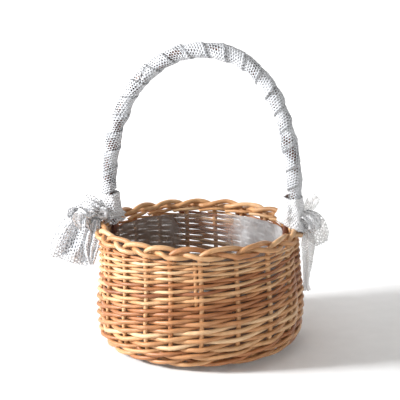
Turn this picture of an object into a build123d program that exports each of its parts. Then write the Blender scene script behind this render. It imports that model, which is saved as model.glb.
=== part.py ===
"""Flower girl basket: a round willow basket with a fixed arch handle, wrapped and tied with lace.

Millimetres, +Z up.  The origin is the centre of the foot on the table.  The handle stands in the
XZ plane and the front of the basket faces -Y.  Stakes are numbered anticlockwise from the front.
"""
from build123d import *
import math
import os

# ---- driving dimensions ------------------------------------------------------------------------
STAKES = 20                # upright rods round the wall, one at each end of every base stick
STAKE_D = 4.2              # thickness of a stake
WEAVE_TOP = 106.0          # where the side weave stops and the border starts
CROWDING = -7.5            # degrees that the front stakes have been pushed to the left
CROWD_CENTRE = 14.0        # degrees right of the front, the middle of that stretch
CROWD_WIDTH = 35.0

# Height, radius of the stake line and half thickness of the weave, from the foot to the border.
WALL = [
    (14.0, 93.0, 6.2),
    (30.0, 98.0, 6.1),
    (45.0, 98.8, 6.0),
    (60.0, 97.6, 5.8),
    (75.0, 96.0, 5.5),
    (90.0, 95.4, 5.2),
    (WEAVE_TOP, 95.4, 4.9),
]
BAND_NAMES = ["side_weave_lower", "side_weave_middle", "side_weave_upper"]

# The foot is a ring of thick waling that turns the base up into the wall.
FOOT_IN = 76.0             # inner radius, where it meets the base weave
FOOT_TREAD = 79.0          # outer radius of the flat that stands on the table
FOOT_BULGE = (93.0, 5.2)   # a point on its rounded outside
BASE_MID = 5.7             # height of the base sticks and of the stakes' lower ends
BASE_LOW = 2.2
BASE_HIGH = 9.2
STAKE_START = 60.0         # radius where a stake's lower end lies in the base

STICKS_EACH_WAY = 5
STICK_D = 5.0              # sticks that are split at the middle
THREADED_D = 3.4           # sticks pushed through the splits
STICK_PITCH = 5.2
STICK_END = 75.0
STICK_LAG = 5.2            # degrees between a stick's end and the stake beside it
CROSS_HALF = 17.0          # half the side of the square cross at the middle
EYE = 26.0                 # radius of the cross that the base weave leaves open
CHANNEL_PLAY = 0.3         # how much wider than its rod a channel in the base weave is

# Border: each stake bends to the right and goes behind one, in front of one, behind one.
# Stake gaps to the right, distance outside the stake line, height over the weave.
BORDER = [
    (0.03, 0.4, 5.0),
    (0.50, -0.5, 12.6),
    (1.00, -4.8, 13.9),
    (1.38, -4.9, 7.4),
    (1.70, 3.4, 6.0),
    (2.00, 4.95, 4.6),
    (2.35, 3.5, 2.7),
    (2.70, -3.2, 2.2),
    (3.12, -4.8, 2.4),
]
BYE_STAKE_GAP = 5.0        # extra short stake beside the front one
BYE_STAKE_LOW = 66.0

# Handle: three rods in a bundle, bent in one arch, and their centre line from foot to foot.
ARCH = [
    (-90.5, 124.0), (-91.0, 150.0), (-89.0, 182.0), (-81.5, 217.0), (-63.0, 256.5),
    (-30.0, 283.5), (4.0, 291.5), (40.0, 284.5), (66.0, 259.5), (82.0, 228.0),
    (90.5, 190.0), (94.5, 158.0), (90.5, 124.0),
]
ROD_D = 5.0
ROD_SPREAD = 2.6           # sideways, from the middle of the bundle to each outer rod
ROD_OUT = 1.5
ROD_IN = -3.0
ROD_FOOT = 85.3            # radius at which the two outer rods pass inside the border
ROD_FOOT_HIGH = 120.0
ROD_FOOT_LOW = 108.0
ROD_SPREAD_WALL = 5.2      # sideways, where they lie each side of a stake in the wall
ROD_ENTRY = 90.0
ROD_END = 45.0
FILLER_END = 165.0         # the third rod stops above the cuffs

# Lace
LACE_R = 7.7               # outside of the lace wound on the handle
WRAP_STOP = 157.0          # height at the right foot where the winding stops
CUFF_R = 11.3
CUFF_LOW = 122.4
LEFT_CUFF_HIGH = 144.0
RIGHT_CUFF_HIGH = 153.0
CUFF_X = 89.5
NET = 2.2                  # thickness of a bow's lace, as a plain solid

FILM = 0.4                 # plastic liner
FILM_GAP = 0.4
FILM_TOP = 103.5
FILM_NOTCH = (24.0, 20.0)  # cut at each handle foot: width and depth

# ---- helpers -------------------------------------------------------------------------------------


def save(solid, name):
    """Write one named sub-part."""
    os.makedirs("parts", exist_ok=True)
    solid.label = name
    export_step(solid, os.path.join("parts", name + ".step"))


def polar(radius, degrees, z):
    """A point at an angle measured anticlockwise from the front."""
    turn = math.radians(degrees - 90)
    return Vector(radius * math.cos(turn), radius * math.sin(turn), z)


def stake_angle(number):
    """Angle of a stake, or of a point a part of the way to the next one."""
    even = 360 / STAKES * number
    off = (even - CROWD_CENTRE + 180) % 360 - 180
    return even + CROWDING * math.exp(-(off / CROWD_WIDTH) ** 2)


def bend_radii(points, ease):
    """A radius for each inner corner of a route, from the share of a run that its arc may take."""
    radii = []
    for before, at, after in zip(points, points[1:], points[2:]):
        run = min((at - before).length, (after - at).length)
        turn = math.radians((at - before).get_angle(after - at))
        radii.append(ease * run / math.tan(turn / 2))
    return radii


def rod(points, diameter, ease=0.45):
    """A round rod along straight runs joined by tangent arcs."""
    points = [Vector(point) for point in points]
    if len(points) > 2:
        route = FilletPolyline(*points, radius=bend_radii(points, ease))
    else:
        route = Line(*points)
    start = Plane(origin=points[0], z_dir=points[1] - points[0])
    solid = sweep(start * Circle(diameter / 2), path=route)
    expected = math.pi * diameter ** 2 / 4 * route.length
    assert abs(solid.volume / expected - 1) < 0.02, (solid.volume, expected)
    return solid


def turned(outline):
    """A ring or disc: a closed outline of edges in radius and height, turned about the Z axis."""
    return revolve(Plane.XZ * make_face(outline), axis=Axis.Z)


def plate(outline, y_front, y_back):
    """A soft flat piece: an outline in X and Z, between two distances towards the back."""
    face = make_face(Polyline(*outline, close=True))
    return extrude(Plane((0, y_front, 0), z_dir=(0, 1, 0), x_dir=(1, 0, 0)) * mirror(face, Plane.XZ),
                   y_back - y_front)


# ---- base ------------------------------------------------------------------------------------------


def base_stick(number, turn_by, diameter):
    """A base stick: straight through the cross, then fanned out to a stake at each end."""
    middle = (STICKS_EACH_WAY - 1) / 2
    side = (number - middle) * STICK_PITCH
    quarter = STAKES // 4
    spoke = number - middle + quarter + turn_by * quarter
    opposite = 2 * quarter + turn_by * quarter + quarter - (number - middle)
    near = polar(STICK_END, stake_angle(spoke) - STICK_LAG, BASE_MID)
    far = polar(STICK_END, stake_angle(opposite) - STICK_LAG, BASE_MID)
    cross = [Vector(CROSS_HALF, side, BASE_MID), Vector(-CROSS_HALF, side, BASE_MID)]
    cross = [point.rotate(Axis.Z, 90 * turn_by) for point in cross]
    return rod([near, *cross, far], diameter, ease=0.12)


def base_sticks():
    split, threaded = [], []
    slot_length = STICK_PITCH * (STICKS_EACH_WAY - 1) + THREADED_D
    for number in range(STICKS_EACH_WAY):
        stick = base_stick(number, 0, STICK_D)
        slot = Pos(0, 0, BASE_MID) * Box(slot_length, 2 * CROSS_HALF, THREADED_D)
        split.append(stick - slot)
        threaded.append(base_stick(number, 1, THREADED_D))
    return split, threaded


def base_disc():
    """The woven floor, an annulus round the open cross, with channels for sticks and stakes."""
    section = Pos((EYE + FOOT_IN) / 2, (BASE_LOW + BASE_HIGH) / 2) * Rectangle(
        FOOT_IN - EYE, BASE_HIGH - BASE_LOW)
    disc = revolve(Plane.XZ * section, axis=Axis.Z)
    for number in range(STICKS_EACH_WAY):
        disc -= base_stick(number, 0, STICK_D + CHANNEL_PLAY)
        disc -= base_stick(number, 1, THREADED_D + CHANNEL_PLAY)
    for number in range(STAKES):
        ends = [polar(radius, stake_angle(number), BASE_MID) for radius in (STAKE_START, FOOT_IN + 1)]
        disc -= rod(ends, STAKE_D + CHANNEL_PLAY)
    return disc


def foot_ring():
    """The waling under the wall, flat where it stands and rounded outside."""
    height, line, half = WALL[0]
    tread, shoulder = (FOOT_TREAD, 0), (line + half, height)
    inside = [shoulder, (line - half, height), (line - half - 5, BASE_HIGH), (FOOT_IN, BASE_HIGH),
              (FOOT_IN, 0), tread]
    return turned(ThreePointArc(tread, FOOT_BULGE, shoulder) + Polyline(*inside))


# ---- wall ------------------------------------------------------------------------------------------


def wall_band(low, mid, high):
    """One band of the side weave between two heights, with curved faces inside and out."""
    def face_points(sign):
        return [(line + sign * half, height) for height, line, half in (low, mid, high)]
    outer, inner = face_points(1), face_points(-1)
    outline = ThreePointArc(*outer) + Line(outer[2], inner[2])
    outline += ThreePointArc(*inner[::-1]) + Line(inner[0], outer[0])
    return turned(outline)


def stake(number):
    """A stake: from the base, up the wall and round the border, all one rod."""
    angle = stake_angle(number)
    points = [polar(STAKE_START, angle, BASE_MID), polar(FOOT_TREAD + 6, angle, BASE_MID)]
    points += [polar(line, angle, height) for height, line, _ in WALL]
    line = WALL[-1][1]
    for gaps, outwards, over in BORDER:
        points.append(polar(line + outwards, stake_angle(number + gaps), WEAVE_TOP + over))
    # The straight top of the wall needs no corner of its own.
    points.remove(points[len(WALL) + 1])
    return rod(points, STAKE_D)


def bye_stake():
    """The short extra stake that stands beside the front one."""
    _, line, _ = WALL[-2]
    angle = stake_angle(1) - math.degrees(BYE_STAKE_GAP / line)
    return rod([polar(line, angle, BYE_STAKE_LOW), polar(line, angle, WEAVE_TOP)], STAKE_D * 0.9)


# ---- handle ----------------------------------------------------------------------------------------


def arch_points(outwards, sideways):
    """The arch's corners, moved outwards in its plane and sideways out of it."""
    points = []
    for number, (x, z) in enumerate(ARCH):
        before = ARCH[max(number - 1, 0)]
        after = ARCH[min(number + 1, len(ARCH) - 1)]
        along = Vector(after[0] - before[0], 0, after[1] - before[1]).normalized()
        points.append(Vector(x, sideways, z) + Vector(-along.Z, 0, along.X) * outwards)
    return points


def handle_foot(side, sideways):
    """The foot of an outer handle rod: inside the border, then down in the wall beside a stake."""
    lateral = math.copysign(ROD_SPREAD_WALL, sideways)
    (_, low_line, _), (_, high_line, _) = WALL[2], WALL[-2]
    return [
        Vector(side * low_line, lateral, ROD_END),
        Vector(side * high_line, lateral, ROD_ENTRY),
        Vector(side * ROD_FOOT, sideways, ROD_FOOT_LOW),
        Vector(side * ROD_FOOT, sideways, ROD_FOOT_HIGH),
    ]


def handle_rods():
    rods = []
    for sideways in (-ROD_SPREAD, ROD_SPREAD):
        arch = arch_points(ROD_OUT, sideways)[1:-1]
        rods.append(rod(handle_foot(-1, sideways) + arch + handle_foot(1, sideways)[::-1], ROD_D))
    filler = arch_points(ROD_IN, 0)[1:-1]
    for end in (0, -1):
        filler[end] = Vector(filler[end].X, 0, FILLER_END)
    rods.append(rod(filler, ROD_D))
    return rods


def lace_winding():
    """The lace wound on the arch, stopped short of the cuff at the right foot."""
    above_cuff = [point for point in arch_points(0, 0)[1:-2]]
    start = Vector(-CUFF_X - 1, 0, LEFT_CUFF_HIGH + 0.5)
    stop = Vector(ARCH[-2][0] - 0.5, 0, WRAP_STOP)
    return rod([start, *above_cuff[1:], stop], 2 * LACE_R)


def cuff(side, high):
    """The soft collar of lace at a handle foot, a little barrel."""
    low_r = CUFF_R * 0.86
    middle = (CUFF_LOW + high) / 2
    outline = ThreePointArc((low_r, CUFF_LOW), (CUFF_R, middle), (low_r, high))
    outline += Polyline((low_r, high), (0, high), (0, CUFF_LOW), (low_r, CUFF_LOW))
    return Pos(side * CUFF_X, 0, 0) * turned(outline)


# ---- bows and liner --------------------------------------------------------------------------------


def knot(x, y, z, radii):
    """A tight knot of lace, an egg with three radii."""
    ball = scale(Sphere(1), by=radii)
    return Pos(x, y, z) * ball


def liner():
    """The clear plastic bag inside the wall, open at the top."""
    def skin(offset, floor):
        height, line, half = WALL[0]
        points = [(0, floor), (line - half - 5 - offset, floor), (line - half - offset, height)]
        for height, line, half in WALL[1:-1]:
            points.append((line - half - offset, height))
        height, line, half = WALL[-1]
        points.append((line - half - offset, FILM_TOP))
        return points
    outer = skin(FILM_GAP, BASE_HIGH)
    inner = skin(FILM_GAP + FILM, BASE_HIGH + FILM)
    bag = turned(Polyline(*outer, *inner[::-1], close=True))
    width, depth = FILM_NOTCH
    for side in (-1, 1):
        bag -= Pos(side * WALL[-1][1], 0, FILM_TOP) * Box(width, width, 2 * depth)
    return bag


BOW_LEFT = {
    "bow_left_loop": ([(-101.5, 127), (-112, 139), (-122, 138), (-121, 130), (-110, 123), (-102, 122.5)],
                      -19, -12),
    "bow_left_tail_wide": ([(-102, 126), (-110, 124), (-143, 93), (-144, 86), (-119, 69), (-113, 75),
                            (-103, 112)], -22.5, -22.5 + NET),
    "bow_left_tail_narrow": ([(-99.5, 121), (-105, 122), (-111, 88), (-107, 79), (-101, 82),
                              (-99, 100)], -26.5, -26.5 + NET),
}
BOW_RIGHT = {
    "bow_right_loop": ([(105, 133), (104, 140), (108, 151), (116, 147), (118, 135), (110, 131)], -3, 3),
    "bow_right_ruffle": ([(110.5, 126), (116, 127), (126, 106), (119, 98), (113, 108)], 1, 1 + NET),
    "bow_right_tail": ([(103, 123.5), (111, 123.5), (112, 98), (110.5, 60), (106.5, 55), (105.4, 75),
                        (103.5, 95)], 6, 6 + NET),
}

# ---- build -----------------------------------------------------------------------------------------


def build():
    split, threaded = base_sticks()
    stakes = [stake(number) for number in range(STAKES)]
    bye = bye_stake()
    rods = handle_rods()
    for number, stick in enumerate(split, 1):
        save(stick, f"base_stick_split_{number}")
    for number, stick in enumerate(threaded, 1):
        save(stick, f"base_stick_threaded_{number}")
    save(base_disc(), "base_weave")
    save(foot_ring() - stakes, "foot_waling")
    for name, at in zip(BAND_NAMES, range(0, len(WALL) - 1, 2)):
        save(wall_band(*WALL[at:at + 3]) - [*stakes, *rods[:2], bye], name)
    for number, piece in enumerate(stakes):
        save(piece, f"stake_{number:02d}")
    save(bye, "bye_stake_front")
    for number, piece in enumerate(rods, 1):
        save(piece, f"handle_rod_{number}")
    save(lace_winding() - rods, "lace_winding")
    save(cuff(-1, LEFT_CUFF_HIGH) - rods, "lace_cuff_left")
    save(cuff(1, RIGHT_CUFF_HIGH) - rods, "lace_cuff_right")
    save(knot(-93.5, -17.0, 129, (7.0, 5.0, 6.5)), "bow_left_knot")
    save(knot(105.0, 0, 127, (4.8, 5.0, 3.6)), "bow_right_knot")
    for name, (outline, front, back) in {**BOW_LEFT, **BOW_RIGHT}.items():
        save(plate(outline, front, back), name)
    save(liner(), "liner_film")


build()
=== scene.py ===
"""Flower girl basket: woven willow, an arch handle wound in lace, lace bows and a clear film liner.

Everything is in metres, in the CAD frame: +Z up, the handle in the XZ plane, the front towards -Y.
"""
import math

import bpy
import numpy as np
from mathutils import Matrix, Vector, noise


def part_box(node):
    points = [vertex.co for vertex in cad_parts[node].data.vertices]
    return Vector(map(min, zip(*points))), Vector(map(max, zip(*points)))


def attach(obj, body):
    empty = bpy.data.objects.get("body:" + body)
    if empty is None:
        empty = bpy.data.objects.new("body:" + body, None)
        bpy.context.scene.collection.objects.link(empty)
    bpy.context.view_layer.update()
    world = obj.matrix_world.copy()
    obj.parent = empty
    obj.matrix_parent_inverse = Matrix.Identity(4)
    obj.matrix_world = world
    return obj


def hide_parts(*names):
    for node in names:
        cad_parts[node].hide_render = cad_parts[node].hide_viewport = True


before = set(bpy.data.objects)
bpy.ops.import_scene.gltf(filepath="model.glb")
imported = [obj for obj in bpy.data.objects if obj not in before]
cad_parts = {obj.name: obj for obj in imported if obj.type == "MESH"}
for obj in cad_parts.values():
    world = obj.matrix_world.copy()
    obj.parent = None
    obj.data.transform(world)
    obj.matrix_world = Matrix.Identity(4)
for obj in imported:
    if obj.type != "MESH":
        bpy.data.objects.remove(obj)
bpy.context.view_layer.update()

MM = 0.001
STAKES = 20
STAKE_R = 2.15 * MM

# The stakes are unevenly spaced near the front: how far they shift, where and over what width, in degrees.
CROWDING, CROWD_CENTRE, CROWD_WIDTH = -7.5, 14.0, 35.0

WEAVE_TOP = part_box("side_weave_upper")[1][2]
FOOT_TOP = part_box("foot_waling")[1][2]
rng = np.random.default_rng(7)
# Without a seed, noise vectors start from the clock and the lace's crumples change on each run.
noise.seed_set(5)

# Radius and height of the stakes' line in mm, from inside the base, round the foot and up the wall.
LINE = [(60, 5.7), (74, 5.5), (82, 6.2), (87.5, 8.4), (91.5, 12), (94.5, 17), (96.6, 23), (98.1, 31),
        (98.8, 43), (98.0, 57), (96.4, 72), (95.5, 88), (95.4, 106)]

# How a stake runs in the border: stake gaps to the right, mm outside the stakes' line, mm over the weave.
BORDER = [(0.0, 0.3, 2.0), (0.03, 0.7, 6.2), (0.26, 1.8, 10.8), (0.60, 0.6, 12.8), (0.95, -2.4, 11.9),
          (1.20, -3.5, 9.8), (1.40, -2.2, 8.3), (1.60, 0.9, 8.0), (1.78, 3.4, 7.3), (2.00, 4.9, 5.4),
          (2.25, 4.7, 5.1), (2.42, 3.2, 4.8), (2.62, -0.4, 4.5), (2.85, -4.1, 5.0), (3.20, -4.9, 4.6),
          (3.55, -5.1, 3.6)]

# ---- geometry helpers ------------------------------------------------------------------------------


def smooth_path(points, per_span):
    """A curve through all the points, with a number of samples in each span."""
    points = np.asarray(points, float)
    ends = np.vstack([2 * points[0] - points[1], points, 2 * points[-1] - points[-2]])
    t = np.linspace(0, 1, per_span, endpoint=False)[:, None]
    spans = []
    for a, b, c, d in zip(ends, ends[1:], ends[2:], ends[3:]):
        spans.append(0.5 * (2 * b + (c - a) * t + (2 * a - 5 * b + 4 * c - d) * t ** 2
                            + (3 * b - a - 3 * c + d) * t ** 3))
    return np.vstack(spans + [points[-1:]])


def stake_angle(number):
    """Angle, anticlockwise from the front in radians, of a stake or a point between two."""
    even = 360 / STAKES * np.asarray(number, float)
    off = (even - CROWD_CENTRE + 180) % 360 - 180
    return np.radians(even + CROWDING * np.exp(-(off / CROWD_WIDTH) ** 2))


line = smooth_path(np.array(LINE) * MM, 12)
line_run = np.r_[0, np.cumsum(np.linalg.norm(np.diff(line, axis=0), axis=1))]
line_slope = np.gradient(line, line_run, axis=0)


def on_wall(angle, run, out=0.0):
    """Points on the wall, from the angle, the length along its line and the distance outside it."""
    radius, height = (np.interp(run, line_run, line[:, k]) for k in (0, 1))
    dr, dz = (np.interp(run, line_run, line_slope[:, k]) for k in (0, 1))
    size = np.hypot(dr, dz)
    radius = radius + out * dz / size
    height = height - out * dr / size
    return around(angle, radius, height)


def run_at(height):
    """Length along the wall's line to a height above the foot's corner."""
    upright = line[:, 1] > 6 * MM
    return np.interp(height, line[upright, 1], line_run[upright])


def around(angle, radius, height):
    """Points at an angle from the front, a radius and a height."""
    angle, radius, height = np.broadcast_arrays(angle, radius, height)
    return settle(np.stack([radius * np.sin(angle), -radius * np.cos(angle), height], -1))


def settle(points):
    """The basket's slight handmade lean and swell, none at the foot or the rim."""
    points = np.array(points, float)
    share = np.clip(points[..., 2] / WEAVE_TOP, 0, 1)
    bulge = np.sin(np.pi * share)
    points[..., 0] += 1.6 * MM * bulge
    points[..., 1] += 0.8 * MM * bulge * np.sin(3 * np.arctan2(points[..., 1], points[..., 0]))
    return points


def wander(count, seed, step=0.35):
    """A smooth random line about zero, one value for each sample."""
    return np.array([noise.noise(Vector((k * step, seed * 7.31, 0.5))) for k in range(count)])


class Rods:
    """Round rods gathered into one mesh, each with its own shade and its own length of grain."""

    def __init__(self):
        self.points, self.faces, self.shade, self.run = [], [], [], []
        self.count = 0

    def add(self, path, radius, sides=8, shade=None, slant=0.0):
        """One rod along a path, with a radius for each point and a cut at each end."""
        path = np.asarray(path, float)
        radius = np.broadcast_to(radius, len(path)).copy()
        ahead = np.gradient(path, axis=0)
        ahead /= np.linalg.norm(ahead, axis=1)[:, None]
        side = np.cross(ahead[0], (0.13, 0.21, 1))
        side /= np.linalg.norm(side)
        sides_dir = []
        for direction in ahead:
            side = side - direction * (side @ direction)
            side /= np.linalg.norm(side)
            sides_dir.append(side)
        sides_dir = np.array(sides_dir)
        across = np.cross(ahead, sides_dir)
        turn = np.linspace(0, 2 * np.pi, sides, endpoint=False)
        ring = sides_dir[:, None] * np.cos(turn)[:, None] + across[:, None] * np.sin(turn)[:, None]
        rows = path[:, None] + ring * radius[:, None, None]
        rows[0] += ahead[0] * (slant * radius[0] * np.cos(turn))[:, None]
        rows[-1] += ahead[-1] * (slant * radius[-1] * np.cos(turn))[:, None]
        length = np.r_[0, np.cumsum(np.linalg.norm(np.diff(path, axis=0), axis=1))]
        shade = rng.random() if shade is None else shade
        start, number = self.count, len(path)
        self.points.append(rows.reshape(-1, 3))
        self.shade.append(np.full(number * sides, shade))
        self.run.append(np.repeat(length + 10 * shade, sides))
        first = start + np.arange(number - 1)[:, None] * sides + np.arange(sides)
        second = start + np.arange(number - 1)[:, None] * sides + (np.arange(sides) + 1) % sides
        quads = np.stack([first, second, second + sides, first + sides], -1).reshape(-1, 4)
        self.faces += quads.tolist()
        self.faces.append(list(range(start + sides - 1, start - 1, -1)))
        self.faces.append(list(range(start + (number - 1) * sides, start + number * sides)))
        self.count += number * sides

    def build(self, name, material, *replaced):
        """The mesh object, with the shade and the grain's length kept at each point."""
        obj = mesh_object(name, np.vstack(self.points), self.faces, material)
        for label, values in (("shade", self.shade), ("run", self.run)):
            field = obj.data.attributes.new(label, "FLOAT", "POINT")
            field.data.foreach_set("value", np.concatenate(values).astype(np.float32))
        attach(obj, "root")
        if replaced:
            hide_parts(*replaced)
        return obj


def mesh_object(name, points, faces, material):
    """A linked mesh object: sides are smooth, and ends of many corners are flat."""
    mesh = bpy.data.meshes.new(name)
    mesh.from_pydata(np.asarray(points).tolist(), [], faces)
    mesh.polygons.foreach_set("use_smooth", [len(face) < 5 for face in faces])
    mesh.materials.append(material)
    mesh.update()
    obj = bpy.data.objects.new(name, mesh)
    bpy.context.collection.objects.link(obj)
    return obj


# ---- materials ---------------------------------------------------------------------------------------


class Shader:
    """A principled material with short calls for its nodes."""

    def __init__(self, name):
        self.material = bpy.data.materials.new(name)
        self.material.use_nodes = True
        self.tree = self.material.node_tree
        self.main = self.tree.nodes["Principled BSDF"]

    def feed(self, socket, value):
        """Link another node's output to the socket, or set a plain value."""
        if isinstance(value, bpy.types.NodeSocket):
            self.tree.links.new(value, socket)
        else:
            socket.default_value = value

    def node(self, kind, inputs=None, **settings):
        made = self.tree.nodes.new("ShaderNode" + kind)
        for key, value in settings.items():
            setattr(made, key, value)
        for key, value in (inputs or {}).items():
            self.feed(made.inputs[key], value)
        return made

    def ramp(self, factor, stops):
        made = self.node("ValToRGB", {"Fac": factor})
        elements = made.color_ramp.elements
        while len(elements) < len(stops):
            elements.new(0.5)
        for element, (place, colour) in zip(elements, stops):
            element.position = place
            element.color = (*colour, 1)
        return made.outputs["Color"]

    def mix(self, factor, a, b, blend="MIX"):
        made = self.node("Mix", data_type="RGBA", blend_type=blend)
        self.feed(made.inputs[0], factor)
        for key, colour in ((6, a), (7, b)):
            self.feed(made.inputs[key], (*colour, 1) if isinstance(colour, tuple) else colour)
        return made.outputs[2]

    def math(self, operation, a, b=0.0):
        made = self.node("Math", operation=operation)
        self.feed(made.inputs[0], a)
        self.feed(made.inputs[1], b)
        return made.outputs[0]

    def surface(self, **inputs):
        for key, value in inputs.items():
            self.feed(self.main.inputs[key.replace("_", " ")], value)

    def bump(self, height, strength, distance):
        return self.node("Bump", {"Height": height, "Strength": strength, "Distance": distance}).outputs[0]


def willow(name, colours):
    """Peeled willow: a shade for each rod, fine grain along it, speckles and a few dark nodes."""
    s = Shader(name)
    shade = s.node("Attribute", attribute_name="shade").outputs["Fac"]
    run = s.node("Attribute", attribute_name="run").outputs["Fac"]
    place = s.node("NewGeometry").outputs["Position"]
    along = s.node("CombineXYZ", {"X": run, "Y": s.math("MULTIPLY", shade, 40.0)}).outputs[0]
    drift = s.node("TexNoise", {"Vector": along, "Scale": 42.0, "Detail": 3.0}).outputs[0]
    patches = s.node("TexNoise", {"Vector": place, "Scale": 120.0, "Detail": 3.0}).outputs[0]
    fine = {"Vector": place, "Scale": 1500.0, "Detail": 4.0, "Roughness": 0.7}
    grain = s.node("TexNoise", fine).outputs[0]
    tone = s.math("ADD", s.math("MULTIPLY", shade, 0.62), s.math("MULTIPLY", drift, 0.36))
    colour = s.ramp(tone, list(zip((0.12, 0.42, 0.66, 0.92), colours)))
    mottle = s.ramp(patches, [(0.32, (0.70, 0.62, 0.56)), (0.55, (1, 1, 1))])
    colour = s.mix(0.55, colour, mottle, "MULTIPLY")
    speckle = s.ramp(grain, [(0.30, (0.62, 0.50, 0.42)), (0.48, (1, 1, 1))])
    colour = s.mix(0.45, colour, speckle, "MULTIPLY")
    knots = s.node("TexVoronoi", {"Vector": along, "Scale": 34.0}).outputs["Distance"]
    knot = s.ramp(knots, [(0.0, (0.34, 0.19, 0.11)), (0.05, (1, 1, 1))])
    colour = s.mix(0.5, colour, knot, "MULTIPLY")
    rough = s.math("ADD", s.math("MULTIPLY", grain, 0.25), 0.32)
    bump = s.bump(s.math("ADD", grain, s.math("MULTIPLY", patches, 0.6)), 0.35, 0.0004)
    s.surface(Base_Color=colour, Roughness=rough, Normal=bump, Coat_Weight=0.06, Coat_Roughness=0.3)
    return s.material


def lace_thread(name, tint=(0.84, 0.84, 0.85), alpha=1.0):
    """White cotton: fine twisted threads, a faint painted shade of grey in the hollows and a soft fuzz."""
    s = Shader(name)
    place = s.node("NewGeometry").outputs["Position"]
    threads = s.node("TexNoise", {"Vector": place, "Scale": 2600.0, "Detail": 3.0}).outputs[0]
    tufts = s.node("TexNoise", {"Vector": place, "Scale": 420.0, "Detail": 2.0}).outputs[0]
    # Painted shade: where the threads dip, their colour is mixed towards this darker grey.
    shadow = tuple(0.84 * value for value in tint)
    colour = s.mix(s.ramp(threads, [(0.3, (0, 0, 0)), (0.6, (1, 1, 1))]), shadow, tint)
    soft = s.ramp(tufts, [(0.35, (0.88, 0.88, 0.9)), (0.6, (1, 1, 1))])
    colour = s.mix(0.6, colour, soft, "MULTIPLY")
    bump = s.bump(s.math("ADD", threads, tufts), 0.4, 0.0004)
    s.surface(Base_Color=colour, Roughness=0.85, Normal=bump, Sheen_Weight=0.35, Sheen_Roughness=0.5,
              Alpha=alpha)
    return s.material


def grey(value):
    """A neutral colour."""
    return value, value, value


def film_plastic(name):
    """Soft film: clear in a band at the middle of the back, milky elsewhere, darkened by painted shade and
    palest at the back right in painted light.
    """
    clear_at, clear_from = 0.006, 0.07
    s = Shader(name)
    place = s.node("NewGeometry").outputs["Position"]
    wrinkled = {"Vector": place, "Scale": 60.0, "Detail": 4.0, "Distortion": 1.4}
    creases = s.node("TexNoise", wrinkled).outputs[0]
    spot = s.node("SeparateXYZ", {"Vector": place}).outputs
    streaks = s.ramp(creases, [(0.36, grey(0.20)), (0.50, grey(0.55)), (0.64, grey(0.25))])
    sideways = s.math("MULTIPLY", s.math("ABSOLUTE", s.math("ADD", spot["X"], clear_at)), 10.0)
    forward = s.math("MULTIPLY", s.math("SUBTRACT", clear_from, spot["Y"]), 9.0)
    cover = s.ramp(s.math("ADD", sideways, s.math("MAXIMUM", forward, 0.0)),
                   [(0.16, grey(0.06)), (0.38, grey(0.62))])
    high = s.math("MINIMUM", s.math("ADD", s.math("MULTIPLY", spot["Z"], 11.0), 0.25), 1.0)
    milk = s.math("MULTIPLY", s.math("ADD", cover, s.math("MULTIPLY", streaks, 0.5)), high)
    # Painted light: the tint turns paler towards the back right, where the key light falls inside the
    # basket, and along the creases as painted highlights.
    back_right = s.math("ADD", s.math("MULTIPLY", spot["X"], 7.0), s.math("MULTIPLY", spot["Y"], 6.0))
    pale = s.ramp(s.math("ADD", back_right, s.math("MULTIPLY", streaks, 0.9)),
                  [(0.45, grey(0)), (1.0, grey(1))])
    # Painted shade: the tint's dark brown end makes the film in shade read dark through the weave.
    tint = s.mix(pale, (0.25, 0.21, 0.18), (0.42, 0.41, 0.41))
    bump = s.bump(creases, 0.5, 0.002)
    s.surface(Base_Color=tint, Roughness=0.2, Normal=bump, Alpha=milk)
    return s.material


# Shades of willow from the darkest rod to the palest.
BUFF = ((0.25, 0.082, 0.026), (0.41, 0.165, 0.058), (0.60, 0.325, 0.145), (0.80, 0.585, 0.355))
BROWN = ((0.10, 0.035, 0.02), (0.17, 0.06, 0.032), (0.25, 0.1, 0.05), (0.33, 0.14, 0.08))
willow_buff = willow("willow_buff", BUFF)
cotton = lace_thread("lace_cotton")
# Painted light: this see-through copy of the cotton is tinted paler than the plain cotton, so the right bow,
# which sits in shade, reads brighter.
sheer_cotton_painted_light = lace_thread("lace_sheer_painted_light_cotton", tint=(0.95, 0.94, 0.93), alpha=0.55)
# Painted shade: this copy of the cotton is tinted darker, for the handle winding and the left bow's tails,
# where the key light falls.
cotton_with_painted_shade = lace_thread("lace_painted_shade_cotton", tint=(0.63, 0.64, 0.66))
clear_film = film_plastic("clear_film")

# ---- wicker ------------------------------------------------------------------------------------------


def side_weavers():
    """French randing: one tapering rod from each stake, in front of one and behind one, to the top."""
    steps, low = 25, FOOT_TOP + 6.0 * MM
    thick, thin = 2.26 * MM, 1.36 * MM
    rise = WEAVE_TOP + 0.7 * MM - low
    n = np.arange(0, steps + 0.3, 0.125)
    share = n / steps
    height = low + rise * (1.27 * share - 0.27 * share ** 2)
    radius = thick + (thin - thick) * share
    for number in range(STAKES):
        drift = wander(len(n), number) * 0.5 * MM
        swing = np.arcsin(-0.985 * np.cos(np.pi * n)) / math.asin(0.985)
        out = swing * (STAKE_R * 0.8 + radius * 0.66) + wander(len(n), number + 50) * 0.4 * MM
        path = on_wall(stake_angle(number + n), run_at(height + drift), out)
        rods = Rods()
        rods.add(path, radius * (1 + 0.06 * wander(len(n), number + 90, 0.8)), slant=0.5)
        rods.build(f"weaver_{number + 1:02d}", willow_buff, "side_weave_lower", "side_weave_middle",
                   "side_weave_upper")


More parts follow.
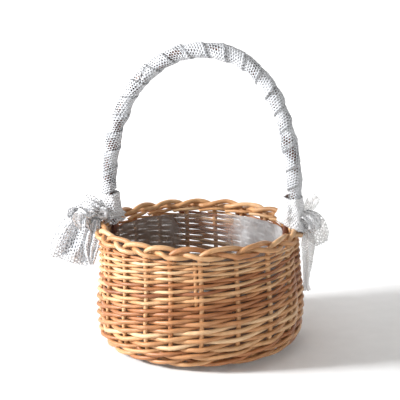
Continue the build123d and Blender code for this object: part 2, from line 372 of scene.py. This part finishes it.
def foot_waling():
    """Three rods that pass in front of two stakes and behind one, over and over, round the foot."""
    rods, radius = Rods(), 2.25 * MM
    first, rounds = run_at(7.2 * MM), 2.35
    steps = int(STAKES * rounds)
    across = np.array([-1.0, 0.86, 1.0])
    climb = np.array([0.2, -1.0, 1.1])
    for rod in range(3):
        number = np.arange(steps + 1)
        phase = number % 3
        out = across[phase] * (STAKE_R + radius)
        up = climb[phase] * 1.5 * MM
        samples = smooth_path(np.stack([number, out, up], -1), 6)
        n = samples[:, 0]
        run = first + n / STAKES * 8.7 * MM + samples[:, 2] + wander(len(n), rod + 30) * 0.4 * MM
        taper = radius * (1 - 0.18 * n / steps)
        path = on_wall(stake_angle(rod + 5 + n), run, samples[:, 1])
        rods.add(path, taper, slant=0.6, shade=0.35 + 0.2 * rod)
    rods.build("foot_waling_rods", willow_buff, "foot_waling")


def stakes():
    """Each stake from the base up the wall, then bent right and plaited into the border."""
    wall = np.linspace(0.0, line_run[-1], 34)[:-2]
    for number in range(STAKES):
        angle = stake_angle(number)
        path = list(on_wall(np.full(len(wall), angle), wall, wander(len(wall), number + 200) * 0.3 * MM))
        jitter = (rng.random((len(BORDER), 2)) - 0.5) * (0.7, 0.9)
        for (gaps, out, over), (sway, lift) in zip(BORDER, jitter):
            height = WEAVE_TOP + (over + lift) * MM
            path.append(around(stake_angle(number + gaps), line[-1][0] + (out + sway) * MM, height))
        path = smooth_path(path, 5)
        share = np.linspace(0, 1, len(path))
        radius = STAKE_R * (0.94 + 0.27 * share + 0.06 * wander(len(path), number + 300, 0.2))
        radius = radius * (1 - 0.4 * np.clip((share - 0.84) / 0.16, 0, 1))
        rods = Rods()
        rods.add(path, radius, sides=10, slant=0.7, shade=0.45 + 0.5 * rng.random())
        rods.build(f"willow_stake_{number:02d}", willow_buff, f"stake_{number:02d}")


def bye_stake():
    """The short extra stake beside the front one."""
    low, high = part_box("bye_stake_front")[0][2], WEAVE_TOP + 1.5 * MM
    beside = 5.0 * MM
    angle = stake_angle(1) - beside / (95.5 * MM)
    run = np.linspace(run_at(low), run_at(high), 12)
    rods = Rods()
    rods.add(on_wall(np.full(12, angle), run), STAKE_R * 0.88, slant=0.8, shade=0.8)
    rods.build("bye_stake_rod", willow_buff, "bye_stake_front")


def base_weave():
    """Pairing: two rods that pass over and under the base sticks in turn, in a flat spiral."""
    rods, radius = Rods(), 1.45 * MM
    inner, outer = 18.5 * MM, 75.0 * MM
    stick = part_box("base_stick_split_3")
    middle = (stick[0][2] + stick[1][2]) / 2
    rounds = (outer - inner) / (2.9 * MM)
    n = np.arange(0, rounds * STAKES, 0.25)
    for rod in range(2):
        sign = np.cos(np.pi * (n + rod))
        spread = inner + (outer - inner) * n / n[-1]
        out = np.minimum(3.1 * MM, 0.5 * MM + spread * 0.12)
        angle = stake_angle(n + rod * 0.02) - math.radians(5.2)
        path = np.stack([spread * np.sin(angle), -spread * np.cos(angle), middle + sign * out * 0.9], -1)
        rods.add(path, radius, sides=6, shade=0.4 + 0.2 * rod)
    rods.build("base_pairing_rods", willow_buff, "base_weave")


def cad_rods():
    """The base sticks and the handle's rods are right as they are, and only need their wood."""
    plain = willow_cad("willow_sticks", BUFF)
    dark = willow_cad("willow_handle", BROWN)
    for name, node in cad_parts.items():
        if name.startswith("base_stick"):
            node.data.materials[0] = plain
        if name.startswith("handle_rod"):
            node.data.materials[0] = dark


def willow_cad(name, colours):
    """Willow for rods that carry no grain of their own: the grain follows the place."""
    s = Shader(name)
    place = s.node("NewGeometry").outputs["Position"]
    patches = s.node("TexNoise", {"Vector": place, "Scale": 55.0, "Detail": 4.0}).outputs[0]
    grain = s.node("TexNoise", {"Vector": place, "Scale": 1400.0, "Detail": 4.0}).outputs[0]
    colour = s.ramp(patches, list(zip((0.3, 0.45, 0.58, 0.75), colours)))
    colour = s.mix(0.5, colour, s.ramp(grain, [(0.3, (0.6, 0.5, 0.42)), (0.5, (1, 1, 1))]), "MULTIPLY")
    s.surface(Base_Color=colour, Roughness=s.math("ADD", s.math("MULTIPLY", grain, 0.25), 0.32),
              Normal=s.bump(grain, 0.35, 0.0004), Coat_Weight=0.1, Coat_Roughness=0.3)
    return s.material


# ---- lace --------------------------------------------------------------------------------------------


def lace(name, size, cell, place, hole, material):
    """A net of eyelets in staggered rows, as two faces of thread that meet at every edge.

    size is (length, width) in metres, cell is one eyelet's (length, width), place maps distances along
    and across the ribbon to points, and hole gives each eyelet's size from 0 to 1. It returns the object
    and the area of the cotton in the flat ribbon, without its eyelets.
    """
    thick = 0.35 * MM
    long_count, wide_count = (max(3, round(s / c)) for s, c in zip(size, cell))
    step = np.array([size[0] / long_count, size[1] / wide_count])
    columns, rows = 2 * long_count + 2, 2 * wide_count + 1
    col, row = np.meshgrid(np.arange(columns), np.arange(rows), indexing="ij")
    grid = np.stack([(col - 0.5) / 2 * step[0], (row / 2 - wide_count / 2) * step[1]], -1).reshape(-1, 2)
    i, j = np.meshgrid(np.arange(long_count), np.arange(wide_count), indexing="ij")
    i, j = i.ravel(), j.ravel()
    shift = j % 2
    around_cell = [(-1, -1), (0, -1), (1, -1), (1, 0), (1, 1), (0, 1), (-1, 1), (-1, 0)]
    at_col, at_row = 2 * i + 1 + shift, 2 * j + 1
    ring = np.stack([(at_col + dc) * rows + at_row + dr for dc, dr in around_cell], -1)
    centre = grid[at_col * rows + at_row]
    shape = [(-0.52, -0.56), (0, -1), (0.52, -0.56), (1, 0),
             (0.52, 0.56), (0, 1), (-0.52, 0.56), (-1, 0)]
    open_size = hole(centre[:, 0], centre[:, 1])[:, None, None]
    rim = centre[:, None] + np.array(shape) * step * 0.5 * open_size
    flat = np.vstack([grid, rim.reshape(-1, 2)])
    base = place(flat[:, 0], flat[:, 1])
    small = 0.15 * MM
    du = place(flat[:, 0] + small, flat[:, 1]) - place(flat[:, 0] - small, flat[:, 1])
    dv = place(flat[:, 0], flat[:, 1] + small) - place(flat[:, 0], flat[:, 1] - small)
    normal = np.cross(du, dv)
    normal /= np.linalg.norm(normal, axis=1)[:, None] + 1e-12
    in_row, in_column = np.divmod(np.arange(len(grid)), rows)
    edge = (in_column == 0) | (in_column == rows - 1) | (in_row < 2) | (in_row >= columns - 2)
    lift = np.where(edge, 0.0, thick)[:, None] * normal[:len(grid)]
    top = base[:len(grid)] + lift
    bottom = base[:len(grid)] - lift
    points = np.vstack([top, bottom, base[len(grid):]])
    below = np.where(edge, 0, len(grid))
    hole_index = 2 * len(grid) + np.arange(len(i))[:, None] * 8 + np.arange(8)
    after = np.roll(np.arange(8), -1)
    upper = np.stack([ring, ring[:, after], hole_index[:, after], hole_index], -1).reshape(-1, 4)
    lower_ring = ring + below[ring]
    lower = np.stack([lower_ring[:, after], lower_ring, hole_index, hole_index[:, after]], -1)
    lower = lower.reshape(-1, 4)
    faces = np.vstack([upper, lower])
    keep = np.unique(faces)
    renumber = np.zeros(len(points), int)
    renumber[keep] = np.arange(len(keep))
    obj = mesh_object(name, points[keep], renumber[faces].tolist(), material)
    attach(obj, "root")
    corner, after = np.array(shape), np.roll(np.array(shape), -1, axis=0)
    share = (corner[:, 0] * after[:, 1] - corner[:, 1] * after[:, 0]).sum() / 8
    return obj, len(i) * step[0] * step[1] * (1 - share * float(np.mean(open_size ** 2)))


def patchy(open_most, open_least, seed, scale):
    """Eyelets that are wide open in some patches and nearly closed in others."""
    def hole(u, v):
        values = [noise.noise(Vector((a * scale, b * scale * 0.6, seed))) for a, b in zip(u, v)]
        share = np.clip(0.5 + 1.5 * np.array(values), 0, 1)
        return open_least + (open_most - open_least) * share
    return hole


def ruffled(points, seed, size, scale):
    """Small crumples added to points."""
    moved = [noise.noise_vector(Vector(p) * scale + Vector((seed, 0, 0))) for p in points]
    return points + np.array([tuple(m) for m in moved]) * size


# Corners of the handle's centre line in X and Z, millimetres, from the left foot to the right.
ARCH = [(-90.5, 124), (-91, 150), (-89, 182), (-81.5, 217), (-63, 256.5), (-30, 283.5), (4, 291.5),
        (40, 284.5), (66, 259.5), (82, 228), (90.5, 190), (94.5, 158), (90.5, 124)]


def arch_line():
    """The handle's centre line: the corners rounded as the rods are bent."""
    corners = np.array([(x, 0, z) for x, z in ARCH]) * MM
    for _ in range(4):
        near = corners[:-1] * 0.75 + corners[1:] * 0.25
        far = corners[:-1] * 0.25 + corners[1:] * 0.75
        middle = np.stack([near, far], 1).reshape(-1, 3)
        corners = np.vstack([corners[:1], middle[1:-1], corners[-1:]])
    run = np.r_[0, np.cumsum(np.linalg.norm(np.diff(corners, axis=0), axis=1))]
    return corners, run


def winding():
    """One long ribbon wound round the handle, each turn lapping over the last, in three lengths."""
    axis, run = arch_line()
    left_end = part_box("lace_cuff_left")[1][2] - 9.0 * MM
    left = run[np.argmax(axis[:, 2] > left_end)]
    right_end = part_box("lace_cuff_right")[1][2] - 13.0 * MM
    right = run[len(run) - 1 - np.argmax(axis[::-1, 2] > right_end)]
    radius, pitch, width = 7.2 * MM, 19.0 * MM, 23.0 * MM
    slope = math.atan2(pitch, 2 * math.pi * radius)
    length = (right - left - width * math.cos(slope)) / math.sin(slope)
    labels = ("left", "top", "right")
    overlap = 0.4 * MM

    def place_from(start):
        def place(u, v):
            a = u + start
            b = v + width / 2
            along = left + a * math.sin(slope) + b * math.cos(slope)
            turn = (a * math.cos(slope) - b * math.sin(slope)) / radius
            centre = np.stack([np.interp(along, run, axis[:, k]) for k in range(3)], -1)
            ahead = np.stack([np.interp(along + 2 * MM, run, axis[:, k])
                              - np.interp(along - 2 * MM, run, axis[:, k]) for k in range(3)], -1)
            ahead /= np.linalg.norm(ahead, axis=1)[:, None]
            side = np.stack([np.zeros(len(u)), np.ones(len(u)), np.zeros(len(u))], -1)
            out = np.cross(ahead, side)
            lap = (b / width) * 1.5 * MM
            lumps = [noise.noise(Vector((p * 62, q * 0.5, 4.0))) for p, q in zip(along, np.cos(turn))]
            distance = radius - 0.8 * MM + lap + 1.7 * MM * np.array(lumps)
            ring = side * np.cos(turn)[:, None] + out * np.sin(turn)[:, None]
            return ruffled(centre + ring * distance[:, None], 3.0, 0.5 * MM, 240)
        return place

    patches = patchy(0.95, 0.02, 11.0, 75)
    share = length / len(labels)
    for number, label in enumerate(labels):
        start = number * share

        def hole(u, v, start=start):
            return patches(u + start, v)

        piece, area = lace(f"lace_winding_{label}", (share + overlap, width), (3.1 * MM, 2.3 * MM),
                           place_from(start), hole, cotton_with_painted_shade)
        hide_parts("lace_winding")


def strip(name, node, material, width, cell, hole, folds, seed, centre, across, gather, crumple=0.6):
    """A lace ribbon along a curve, folded lengthwise where it is gathered.

    centre and across hold the points of the curve in mm and the ribbon's direction at each; gather holds
    pairs of the share of the length and the share of the full width there; crumple is in mm.
    """
    centre = smooth_path(np.array(centre) * MM, 14)
    across = smooth_path(np.array(across, float), 14)
    across /= np.linalg.norm(across, axis=1)[:, None]
    run = np.r_[0, np.cumsum(np.linalg.norm(np.diff(centre, axis=0), axis=1))]
    length, width = run[-1], width * MM
    gather = smooth_path(np.array(gather, float), 14)

    def place(u, v):
        share = np.clip(u / length, 0, 1)
        c = np.stack([np.interp(u, run, centre[:, k]) for k in range(3)], -1)
        w = np.stack([np.interp(u, run, across[:, k]) for k in range(3)], -1)
        ahead = np.stack([np.interp(u + MM, run, centre[:, k]) - np.interp(u - MM, run, centre[:, k])
                          for k in range(3)], -1)
        ahead /= np.linalg.norm(ahead, axis=1)[:, None] + 1e-12
        w = w - ahead * (w * ahead).sum(1)[:, None]
        w /= np.linalg.norm(w, axis=1)[:, None]
        out = np.cross(ahead, w)
        tight = np.clip(np.interp(share, gather[:, 0], gather[:, 1]), 0.1, 1.0)
        depth = width / (2 * np.pi * folds) * np.sqrt(2 * (1 - tight ** 2))
        wave = depth * np.sin(2 * np.pi * folds * v / width + 1.3 * np.sin(share * 5 + seed))
        return ruffled(c + w * (v * tight)[:, None] + out * wave[:, None], seed, crumple * MM, 190)

    piece, area = lace(name, (length, width), cell, place, hole, material)
    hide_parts(node)


def cuff(name, node, low_r, high_r, turns, cell, hole, crumple, slant=0.0, flare=0.0, rise=3.0, lean=0.0):
    """A soft collar of lace round a handle foot, wound about two turns and fluted at its lower edge.

    low_r and high_r are its radii in mm. slant drops the right of its lower edge, rise is how far it stands
    over its node in height, and lean is how far its top moves to the right, all in mm.
    """
    (x0, _, z0), (x1, _, z1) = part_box(node)
    middle = (x0 + x1) / 2
    height = z1 - z0 + rise * MM
    length = 2 * math.pi * (low_r + high_r) / 2 * MM * turns

    def place(u, v):
        turn = 2 * np.pi * turns * u / length
        share = np.clip(v / height + 0.5, 0, 1)
        radius = (low_r + (high_r - low_r) * share) * MM
        radius = radius + flare * MM * (1 - share) ** 2 * np.sin(5 * turn) + 0.5 * MM * turn / (2 * np.pi)
        radius = radius + 0.5 * MM * np.sin(7 * turn + 4 * share)
        z = z0 + height * share - slant * MM * (1 - share) * np.cos(turn)
        x = middle + lean * MM * share + radius * np.cos(turn)
        return ruffled(np.stack([x, radius * np.sin(turn), z], -1), 5.0, crumple * MM, 210)

    piece, area = lace(name, (length, height), cell, place, hole, cotton)
    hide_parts(node)


def knot(name, node, material):
    """A tight knot: a strand of lace wound three times round itself."""
    (x0, y0, z0), (x1, y1, z1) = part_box(node)
    centre = np.array([(x0 + x1) / 2, (y0 + y1) / 2, (z0 + z1) / 2])
    size = np.array([x1 - x0, y1 - y0, z1 - z0]) / 2
    rods = Rods()
    t = np.linspace(0, 2 * np.pi * 3, 150)
    spread = 0.62 + 0.12 * np.sin(t * 1.31)
    path = centre + size * np.stack([spread * np.cos(t) * 0.9, spread * np.sin(2 * t / 3) * 0.8,
                                     spread * np.sin(t) * 0.9], -1)
    rods.add(path, 1.9 * MM + 0.35 * MM * np.sin(t * 9), sides=12, shade=0.5)
    obj = rods.build(name, material, node)


def bows():
    """The bow tied at each handle foot, from loops and tails of the same lace ribbon."""
    net = (3.9 * MM, 3.1 * MM)
    fine = (2.6 * MM, 2.2 * MM)
    wide_open = patchy(0.74, 0.38, 21.0, 60)
    dense = patchy(0.50, 0.06, 23.0, 90)
    knot("lace_knot_left", "bow_left_knot", cotton)
    knot("lace_knot_right", "bow_right_knot", sheer_cotton_painted_light)
    strip("lace_loop_left", "bow_left_loop", cotton, 30, fine, dense, folds=3, seed=1.0, crumple=0.9,
          centre=[(-95, -15, 130), (-103, -17, 137), (-112, -18, 139), (-120, -18, 135), (-121, -16, 128),
                  (-113, -13, 126), (-101, -12, 127)],
          across=[(0, 1, 0.6), (0.2, 1, 0.8), (0.4, 1, 0.5), (0.6, 1, 0.2), (0.4, 1, -0.3), (0.2, 1, -0.2),
                  (0, 1, 0)],
          gather=[(0, 0.3), (0.3, 0.7), (0.6, 0.75), (1, 0.35)])
    strip("lace_puff_left", "bow_left_loop", cotton, 26, fine, dense, folds=3, seed=1.6, crumple=1.0,
          centre=[(-96, -22, 131), (-103, -26, 134), (-110, -27, 130), (-111, -26, 122), (-105, -24, 119)],
          across=[(0.4, 0.5, 0.8), (0.4, 0.4, 0.8), (0.7, 0.3, 0.5), (0.9, 0.2, 0.1), (0.8, 0.2, -0.3)],
          gather=[(0, 0.3), (0.4, 0.7), (0.7, 0.75), (1, 0.5)])
    strip("lace_tail_left_wide", "bow_left_tail_wide", cotton_with_painted_shade, 44, net, wide_open, folds=2, seed=2.0,
          crumple=1.0,
          centre=[(-97, -20, 128), (-107, -23, 125), (-117, -23, 114), (-124, -22, 97), (-129, -21, 79)],
          across=[(0.5, -0.3, 0.8), (0.8, -0.2, 0.6), (0.86, 0, 0.5), (0.86, 0, 0.5), (0.83, 0, 0.5)],
          gather=[(0, 0.25), (0.25, 0.62), (0.6, 0.86), (1, 0.92)])
    strip("lace_tail_left_back", "bow_left_tail_wide", cotton_with_painted_shade, 40, fine, dense, folds=3, seed=2.7,
          crumple=0.8,
          centre=[(-96, -15, 127), (-106, -17, 121), (-115, -17, 110), (-121, -17, 96), (-125, -17, 83)],
          across=[(0.6, -0.3, 0.7), (0.8, -0.2, 0.5), (0.9, 0, 0.4), (0.9, 0, 0.4), (0.9, 0, 0.45)],
          gather=[(0, 0.3), (0.3, 0.65), (0.7, 0.85), (1, 0.8)])
    strip("lace_tail_left_narrow", "bow_left_tail_narrow", cotton_with_painted_shade, 26, fine, dense, folds=3, seed=3.0,
          crumple=0.9,
          centre=[(-97, -22, 126), (-100, -25, 116), (-103, -26, 102), (-104, -26, 90), (-103, -25, 78)],
          across=[(1, 0.1, 0), (1, 0, 0.1), (1, 0, 0), (1, 0, 0), (1, 0, 0)],
          gather=[(0, 0.3), (0.4, 0.68), (0.7, 0.6), (1, 0.15)])
    strip("lace_loop_right", "bow_right_loop", sheer_cotton_painted_light, 13, fine, dense, folds=2, seed=4.0,
          centre=[(101, 0, 130), (105, -1, 136), (109, -2, 142), (113, -2, 148), (116, -2, 152)],
          across=[(0.8, 0.2, -0.6), (0.8, 0.2, -0.6), (0.8, 0.1, -0.6), (0.8, 0.1, -0.6), (0.8, 0.1, -0.6)],
          gather=[(0, 0.35), (0.35, 0.7), (0.7, 0.95), (0.9, 0.7), (1, 0.35)])
    strip("lace_ruffle_right", "bow_right_ruffle", sheer_cotton_painted_light, 34, net, wide_open, folds=3, seed=5.0,
          crumple=0.9,
          centre=[(98, 0, 129), (104, 2, 129), (111, 3, 122), (116, 3, 113), (122, 3, 103)],
          across=[(0.5, 0.1, 0.8), (0.8, 0, 0.6), (0.9, 0, 0.5), (1, 0, 0.3), (1, 0, 0.6)],
          gather=[(0, 0.3), (0.35, 0.72), (0.75, 0.65), (1, 0.3)])
    strip("lace_puff_right", "bow_right_loop", cotton, 20, fine, dense, folds=2, seed=5.6, crumple=0.9,
          centre=[(98, -4, 130), (104, -6, 133), (111, -6, 130), (114, -5, 122), (108, -4, 117)],
          across=[(0.3, 0.8, 0.5), (0.3, 0.7, 0.6), (0.6, 0.6, 0.4), (0.8, 0.5, 0), (0.6, 0.5, -0.3)],
          gather=[(0, 0.3), (0.4, 0.7), (0.7, 0.75), (1, 0.5)])
    strip("lace_tail_right", "bow_right_tail", sheer_cotton_painted_light, 22, fine, dense, folds=2, seed=6.0, crumple=0.8,
          centre=[(101, 5, 127), (106, 7, 114), (107.5, 7.5, 98), (107, 7.5, 80), (106, 7.5, 64),
                  (106.5, 7, 53)],
          across=[(1, 0.2, 0), (1, 0.1, 0), (1, 0, 0), (1, 0, 0), (1, 0, 0), (1, 0, 0)],
          gather=[(0, 0.35), (0.3, 0.62), (0.6, 0.45), (0.85, 0.25), (1, 0.35)])
    tufts("lace_tufts_left", "lace_cuff_left", -90.5, (118, 128), 12.0, 60)


def tufts(name, node, x, levels, radius, count):
    """Short picot loops of thread that stand out all round the lace at a handle foot, in mm."""
    low, high = levels
    rods = Rods()
    for number in range(count):
        turn, level = rng.random() * 2 * np.pi, low + (high - low) * rng.random()
        lean = rng.normal(0, 0.6, 3)
        out = np.array([math.cos(turn), math.sin(turn), 0])
        start = np.array([x, 0, level]) + out * (radius - 2.5)
        tip = start + out * (4.5 + 2.5 * rng.random()) + lean * 2.2 + (0, 0, -1.0)
        side = np.array([-out[1], out[0], 0.4]) * (1.2 + rng.random())
        middle = (start + tip) / 2
        loop = np.array([start, middle + side, tip, middle - side, start]) * MM
        rods.add(smooth_path(loop, 4), 0.42 * MM, sides=6, shade=0.5)
    obj = rods.build(name, cotton, node)


# ---- liner -------------------------------------------------------------------------------------------


def liner():
    """The clear bag: smooth over the floor, creased up the wall, its edge caught under the border."""
    (_, _, low), (_, _, top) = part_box("liner_film")
    columns, rows = 200, 70
    profile = [(r * MM, low + z * MM) for r, z in ((0.0, 0.3), (40, 0.3), (76, 0.4), (84.5, 4.5))]
    for height, inset in ((26, 7.6), (45, 7.2), (70, 6.8), (90, 6.5)):
        radius = np.interp(run_at(height * MM), line_run, line[:, 0])
        profile.append((radius - inset * MM, height * MM))
    profile.append((line[-1][0] - 7.4 * MM, top + 4.0 * MM))
    shape = smooth_path(profile, 12)
    run = np.r_[0, np.cumsum(np.linalg.norm(np.diff(shape, axis=0), axis=1))]
    share = np.linspace(0.004, 1, rows)
    radius = np.interp(share * run[-1], run, shape[:, 0])
    height = np.interp(share * run[-1], run, shape[:, 1])
    angle = np.linspace(0, 2 * np.pi, columns, endpoint=False)
    points = []
    for r, z, s in zip(radius, height, share):
        for a in angle:
            spot = Vector((math.sin(a) * 3.2, math.cos(a) * 3.2, s * 4.5))
            fold = abs(noise.noise(spot * 1.7)) + 0.5 * abs(noise.noise(spot * 4.1))
            pull = 4.2 * MM * fold * min(1.0, s * 2)
            lift = 0.8 * MM * fold if s < 0.4 else 0
            points.append((math.sin(a) * (r - pull), -math.cos(a) * (r - pull), z + lift))
    faces = []
    for i in range(rows - 1):
        for j in range(columns):
            k = (j + 1) % columns
            this, next_up = i * columns, (i + 1) * columns
            faces.append([this + j, this + k, next_up + k, next_up + j])
    faces.append(list(range(columns))[::-1])
    obj = mesh_object("liner_bag", points, faces, clear_film)
    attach(obj, "root")
    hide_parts("liner_film")


# ---- stage -------------------------------------------------------------------------------------------


def stage():
    """A plain pale floor that curves up all round, hard light from the left and a camera in front."""
    section = smooth_path([(0.02, 0.0), (1.7, 0.0), (2.0, 0.03), (2.3, 0.25), (2.45, 0.8), (2.45, 1.7)], 8)
    sides = 72
    turns = np.linspace(0, 2 * np.pi, sides, endpoint=False)
    points = [(radius * math.cos(turn), radius * math.sin(turn), z)
              for radius, z in section for turn in turns]
    faces = []
    for i in range(0, (len(section) - 1) * sides, sides):
        for j in range(sides):
            k = (j + 1) % sides
            faces.append([i + j, i + k, i + sides + k, i + sides + j])
    faces.append(list(range(sides))[::-1])
    s = Shader("floor_paper")
    speck = s.node("TexNoise", {"Scale": 300.0, "Detail": 2.0}).outputs[0]
    s.surface(Base_Color=s.ramp(speck, [(0.3, grey(0.90)), (0.7, grey(0.93))]), Roughness=0.9)
    floor = mesh_object("floor", points, faces, s.material)
    world = bpy.data.worlds.new("studio")
    world.use_nodes = True
    sky = world.node_tree.nodes["Background"].inputs
    sky["Color"].default_value = (1.0, 0.965, 0.92, 1)
    sky["Strength"].default_value = 0.22
    bpy.context.scene.world = world
    for name, spot, size, power, colour, aim in (
            ("key", (-1.38, -0.55, 0.72), 0.3, 48.0, (0.97, 0.985, 1.0), (0, 0, 0.1)),
            ("top", (-0.2, -0.3, 1.3), 0.9, 2.5, grey(1), (0, 0, 0.1)),
            ("front", (-0.3, -1.3, 0.4), 0.8, 1.6, (1.0, 0.98, 0.96), (0, 0, 0.1)),
            ("backdrop", (0.0, 0.9, 1.5), 1.5, 26.0, grey(1), (0, 2.4, 0.5))):
        light = bpy.data.lights.new(name, "AREA")
        light.size, light.energy, light.color = size, power, colour
        obj = bpy.data.objects.new(name, light)
        obj.location = spot
        obj.rotation_euler = (Vector(aim) - Vector(spot)).to_track_quat("-Z", "Y").to_euler()
        bpy.context.collection.objects.link(obj)
    azimuth, elevation, distance = math.radians(10), math.radians(13.5), 1.2
    target = Vector((0.001, 0, 0.1425))
    away = Vector((math.sin(azimuth) * math.cos(elevation), -math.cos(azimuth) * math.cos(elevation),
                   math.sin(elevation)))
    camera = bpy.data.cameras.new("camera")
    sensor, distance_to_width = 36, 3.06
    camera.sensor_width, camera.lens = sensor, sensor * distance_to_width
    obj = bpy.data.objects.new("camera", camera)
    obj.location = target + away * distance
    obj.rotation_euler = (-away).to_track_quat("-Z", "Y").to_euler()
    bpy.context.collection.objects.link(obj)
    bpy.context.scene.camera = obj
    bpy.context.scene.view_settings.view_transform = "Standard"


stage()
cad_rods()
side_weavers()
foot_waling()
stakes()
bye_stake()
base_weave()
winding()
cuff("lace_collar_left", "lace_cuff_left", 10.8, 8.0, 2.2, (2.6 * MM, 2.2 * MM),
     patchy(0.75, 0.1, 31.0, 120), crumple=1.2)
cuff("lace_collar_right", "lace_cuff_right", 13.6, 8.4, 2.0, (1.9 * MM, 1.7 * MM),
     patchy(0.12, 0.04, 33.0, 60), crumple=1.0, slant=7.0, flare=1.2, rise=-3.0, lean=3.0)
bows()
liner()
